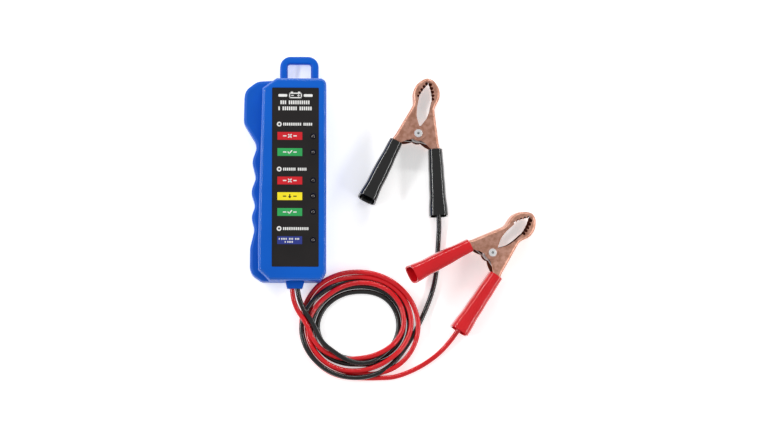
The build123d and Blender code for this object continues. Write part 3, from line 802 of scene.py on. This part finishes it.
def inner_run(tooth_depth, lobe_drop):
    """The lever's inner edge from the handle's end, round the rivet's lobe and up the teeth to the tip."""
    run = [boot_point(handle_length, -handle_half), boot_point(0, -handle_half)]
    run += [Vector((5.6, -5.0 - lobe_drop)), Vector((3.6, -4.1 - lobe_drop))]
    for turn in range(-62, -273, -15):
        angle = math.radians(turn)
        radius = lobe_radius + lobe_drop * max(0.0, -math.sin(angle))
        run.append(Vector((radius * math.cos(angle), radius * math.sin(angle))))
    run += [Vector(p) for p in ((0.9, 5.3), (2.0, 7.4), (2.9, 9.4), (3.4, 11.9), (mouth_half_gap, 14.5))]
    for tooth in range(tooth_count):
        ends = []
        for share in (tooth / tooth_count, (tooth + 1) / tooth_count):
            inwards = mouth_half_gap + (jaw_gap - mouth_half_gap) * share ** 1.7
            ends.append(Vector((inwards, tooth_start + (tooth_end - tooth_start) * share)))
        out = (ends[1] - ends[0]).normalized()
        for share, depth in ((0.0, 0.0), (0.18, 0.72), (0.36, 0.97), (0.64, 0.97), (0.82, 0.72)):
            run.append(ends[0].lerp(ends[1], share) + Vector((out.y, -out.x)) * depth * tooth_depth)
    return run + [Vector((jaw_gap, tooth_end))]


def inset_run(run, distance):
    """An open run moved towards its right-hand side, which is the inside of the outer edge."""
    moved = []
    for index, here in enumerate(run):
        back = (here - run[max(index - 1, 0)]) if index else (run[1] - here)
        ahead = (run[index + 1] - here) if index < len(run) - 1 else back
        back, ahead = back.normalized(), ahead.normalized()
        right, next_right = Vector((back.y, -back.x)), Vector((ahead.y, -ahead.x))
        moved.append(here + (right + next_right) * distance / (1 + right.dot(next_right)))
    return moved


def make_lever(name, side, low, high, seat):
    """One folded lever: outer skin, inner skin, and the sheet's edge between them."""
    skin = Skin()

    def flip(run):
        """The run on this lever's side of the clamp."""
        return [Vector((side * p.x, p.y)) for p in run]

    angles = [math.radians(90 * n / 4) for n in range(5)]
    outside = [(fold * (1 - math.sin(a)), high - fold * (1 - math.cos(a))) for a in angles]
    inside = [
        (fold - (fold - sheet) * math.sin(a), high - sheet - (fold - sheet) * (1 - math.cos(a)))
        for a in angles
    ]
    outside += [(shift, low + high - height) for shift, height in reversed(outside)]
    inside += [(shift, low + high - height) for shift, height in reversed(inside)]
    strips = []
    for profile in (outside, inside):
        strips.append([skin.loop(flip(inset_run(outer_edge, shift)), height) for shift, height in profile])
    # The inside strip is marked inner, so it gets painted shade from the darker copper.
    for number, strip in enumerate(strips):
        for above, below in zip(strip, strip[1:]):
            skin.wall(above, below, closed=False, inner=number == 1)
    for end in (0, -1):
        profiles = [[run[end] for run in strip] for strip in strips]
        skin.wall(*profiles, closed=False)
    rivet_hole = circle(0, 0, rivet_radius, 20)
    edge_rim = 0.18
    for plate, (outer_face, inner_face) in enumerate(((high, high - sheet), (low, low + sheet))):
        outer_side = strips[0][0 if plate == 0 else -1]
        inner_side = strips[1][0 if plate == 0 else -1]
        way = -1 if plate == 0 else 1
        inner_edge = inner_run(upper_teeth, 0.0) if plate == 0 else inner_run(lower_teeth, lower_lobe_drop)
        rim = skin.loop(flip(inner_edge), outer_face + way * edge_rim)
        closed = flip(inset_run(outer_edge, fold) + inner_edge)
        shrunk = inset(closed, edge_rim * side * -1)[len(outer_edge):]
        top = skin.loop(shrunk, outer_face)
        foot = skin.loop(flip(inner_edge), inner_face)
        hole_top = skin.loop(flip(rivet_hole), outer_face)
        hole_foot = skin.loop(flip(rivet_hole), inner_face)
        skin.cap([outer_side + top, hole_top])
        # Each plate's face towards the inside of the channel gets the same painted shade.
        skin.cap([inner_side + foot, hole_foot], inner=True)
        skin.wall(top, rim, closed=False)
        skin.wall(rim, foot, closed=False)
        skin.wall(hole_top, hole_foot)
        first, last = (outer_side[0], inner_side[0]), (outer_side[-1], inner_side[-1])
        skin.faces.append((last[0], top[0], rim[0], foot[0], last[1]))
        skin.faces.append((first[0], top[-1], rim[-1], foot[-1], first[1]))
    return skin.build(name, copper, copper_painted_shade, seat=seat)


def boot_ring(side, distance, half_width, half_height, cut, steps=40):
    """One ring of a sleeve: a soft rectangle square to the handle, its top cut back by a length."""
    ring = []
    for n in range(steps):
        angle = math.tau * n / steps
        c, s = math.cos(angle), math.sin(angle)
        shift = half_width * math.copysign(abs(c) ** 0.62, c)
        rise = half_height * math.copysign(abs(s) ** 0.62, s)
        back = cut * (rise + half_height) / (2 * half_height)
        point = boot_point(distance - back, shift)
        ring.append((side * point.x, point.y, boot_half_height + rise))
    return ring


def make_boot(name, side, cut, phase, material, seat):
    """A dip-moulded sleeve, open at both ends and wider at the far one, with slight waves in its wall."""
    skin = Skin()
    rings = []
    spans = 22
    stations = [0.0, 0.25, 1.0] + [boot_length * n / spans for n in range(1, spans)]
    stations += [boot_length - 0.6, boot_length - 0.15, boot_length]
    for distance in stations:
        share = distance / boot_length
        half_width = boot_mouth_half + (boot_end_half - boot_mouth_half) * share
        wave = 0.16 * math.sin(share * 9.0 + phase) + 0.08 * math.sin(share * 23.0 + 2 * phase)
        pinch = 0.30 if distance == 0.0 else 0.12 if distance == boot_length else 0.0
        thin = 0.35 * math.exp(-((share - 0.72) / 0.16) ** 2)
        rings.append(boot_ring(
            side, distance, half_width - 0.18 + wave * 0.6 - pinch - thin,
            boot_half_height - 0.15 - pinch + 0.4 * min(0.0, wave), cut * share ** 3,
        ))
    for distance in reversed(stations[1:-1]):
        share = distance / boot_length
        half_width = boot_mouth_half + (boot_end_half - boot_mouth_half) * share - boot_wall
        rings.append(boot_ring(side, distance, half_width, boot_half_height - boot_wall, cut * share ** 3))
    loops = []
    for ring in rings:
        first = len(skin.points)
        skin.points += ring
        loops.append(list(range(first, len(skin.points))))
    for below, above in zip(loops, loops[1:] + loops[:1]):
        skin.wall(below, above)
    return skin.build(name, material, seat=seat, sharp=50.0)


def turned(skin, profile, steps=36):
    """A lathe-turned ring round the pivot, from a closed profile of radius and height."""
    loops = [skin.loop(circle(0, 0, radius, steps), height) for radius, height in profile]
    for below, above in zip(loops, loops[1:] + loops[:1]):
        skin.wall(below, above)


rivet_top = 12.9
rivet_profile = [
    (0.62, 0.0), (0.75, -0.02), (1.5, -0.12), (2.05, 0.0), (2.3, 0.28), (2.22, 0.5), (1.5, 0.5),
    (1.5, rivet_top - 0.5), (2.22, rivet_top - 0.5), (2.3, rivet_top - 0.28), (2.05, rivet_top),
    (1.5, rivet_top + 0.12), (0.85, rivet_top + 0.02), (0.72, rivet_top - 0.1), (0.66, 10.0), (0.1, 9.8),
    (0.1, 3.1), (0.66, 2.9),
]
rivet_base = 0.25
spring_radius, wire_radius = 4.1, 0.7
spring_low, spring_high = 3.2, 10.2
spring_turns = 4.6
roll_frame = Matrix.Translation((boot_mouth.x * MM, boot_mouth.y * MM, 0))
roll_frame = roll_frame @ Matrix.Rotation(boot_angle, 4, "Z")
clamps = {
    "black": ((75.0, 22.0, 0.0), -11.8, 0.0),
    "red": ((115.1, -44.3, 0.45), -48.1, 7.9),
}
for colour, (pivot, bearing, roll) in clamps.items():
    tilt = roll_frame @ Matrix.Rotation(math.radians(roll), 4, "Y") @ roll_frame.inverted()
    seat = Matrix.Translation(Vector(pivot) * MM) @ Matrix.Rotation(math.radians(bearing), 4, "Z") @ tilt
    jaw = f"{colour}_clamp_jaw"
    on_lead = []
    for kind, (side, low, high) in lever_levels.items():
        body = "tester" if kind == "fixed" else jaw
        lever = make_lever(f"{colour}_{kind}_lever", side, low, high, seat)
        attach(lever, body)
        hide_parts(f"{colour}_clamp_{kind}_lever")
        cut, phase = boot_looks[kind]
        boot = make_boot(f"{colour}_{kind}_boot", side, cut, phase, pvc[colour], seat)
        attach(boot, body)
        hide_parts(f"{colour}_clamp_{kind}_boot")
        on_lead += [lever, boot]

    rivet = Skin()
    turned(rivet, [(radius, rivet_base + height) for radius, height in rivet_profile])
    rivet = rivet.build(f"{colour}_rivet", zinc, seat=seat)
    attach(rivet, "tester")
    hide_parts(f"{colour}_clamp_rivet")
    on_lead.append(rivet)

    web_face = boot_point(-1.0, handle_half - 0.95 - wire_radius)
    leg_angle = math.atan2(web_face.y, web_face.x) - math.acos(spring_radius / web_face.length)
    wire = [(web_face.x, web_face.y, spring_high - wire_radius)]
    sweep = math.pi - 2 * leg_angle + math.tau * int(spring_turns)
    steps = 20 * int(spring_turns)
    for n in range(steps + 1):
        angle = leg_angle + sweep * n / steps
        height = spring_high - wire_radius - (spring_high - spring_low - 2 * wire_radius) * n / steps
        wire.append((spring_radius * math.cos(angle), spring_radius * math.sin(angle), height))
    wire.append((-web_face.x, web_face.y, spring_low + wire_radius))
    spring_curve = bpy.data.curves.new("spring_wire", "CURVE")
    spring_curve.dimensions = "3D"
    spring_curve.bevel_depth = wire_radius * MM
    spring_curve.bevel_resolution = 3
    spring_curve.use_fill_caps = True
    strand = spring_curve.splines.new("POLY")
    strand.points.add(len(wire) - 1)
    for control, p in zip(strand.points, wire):
        control.co = (p[0] * MM, p[1] * MM, p[2] * MM, 1.0)
    spool = bpy.data.objects.new("spool", spring_curve)
    bpy.context.collection.objects.link(spool)
    bpy.context.view_layer.update()
    mesh = bpy.data.meshes.new_from_object(spool.evaluated_get(bpy.context.evaluated_depsgraph_get()))
    bpy.data.objects.remove(spool)
    mesh.transform(seat)
    mesh.materials.clear()
    mesh.materials.append(spring_steel)
    soften(mesh, 50.0)
    spring = bpy.data.objects.new(f"{colour}_spring", mesh)
    bpy.context.collection.objects.link(spring)
    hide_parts(f"{colour}_clamp_spring")
    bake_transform(spring)
    on_lead.append(spring)


# ---- Lights, board and what is on it ----
# The remaining pieces keep their designed shape and get their real finish: dark lenses behind the label,
# a green board with its parts, tinned wire and solder, zinc-plated screws, and the leads' inner ends.
finishes = {
    "led_lens": finish(
        "led_lens", (0.012, 0.010, 0.010), (0.03, 0.022, 0.022), 300.0, 3000.0, (0.12, 0.22), 0.04, coat=0.5,
    ),
    "board_laminate": finish(
        "board_laminate", (0.02, 0.15, 0.06), (0.04, 0.22, 0.09), 120.0, 1800.0, (0.3, 0.45), 0.15,
    ),
    "black_resin": finish(
        "black_resin", (0.015, 0.015, 0.016), (0.03, 0.03, 0.03), 400.0, 3000.0, (0.5, 0.7), 0.3,
    ),
    "resistor_coat": finish(
        "resistor_coat", (0.62, 0.45, 0.25), (0.70, 0.52, 0.30), 400.0, 3000.0, (0.4, 0.55), 0.2,
    ),
    "diode_glass": finish(
        "diode_glass", (0.50, 0.16, 0.06), (0.58, 0.22, 0.09), 400.0, 3000.0, (0.08, 0.16), 0.03, coat=0.5,
    ),
    "can_sleeve": finish(
        "can_sleeve", (0.02, 0.03, 0.11), (0.04, 0.05, 0.15), 300.0, 2500.0, (0.22, 0.35), 0.08,
    ),
    "tie_nylon": finish(
        "tie_nylon", (0.72, 0.72, 0.66), (0.80, 0.80, 0.75), 200.0, 2500.0, (0.4, 0.55), 0.12,
    ),
    "tinned_metal": finish(
        "tinned_metal", (0.62, 0.62, 0.63), (0.74, 0.74, 0.75), 400.0, 3000.0, (0.25, 0.4), 0.15, metallic=1.0,
    ),
    "screw_steel": finish(
        "screw_steel", (0.50, 0.50, 0.49), (0.62, 0.62, 0.60), 300.0, 3000.0, (0.25, 0.4), 0.15, metallic=1.0,
    ),
    "housing_plastic": blue_abs, "label_film": film_black, "copper_plate": copper, "zinc_plate": zinc,
    "red_pvc": red_pvc, "black_pvc": black_pvc,
}
for part in frame["record"]["subparts"]:
    node_object = bpy.data.objects[frame["nodes"][part["node"]].name]
    if not node_object.material_slots:
        node_object.data.materials.append(None)
    for holder in node_object.material_slots:
        holder.material = finishes[part["material_slot"]]
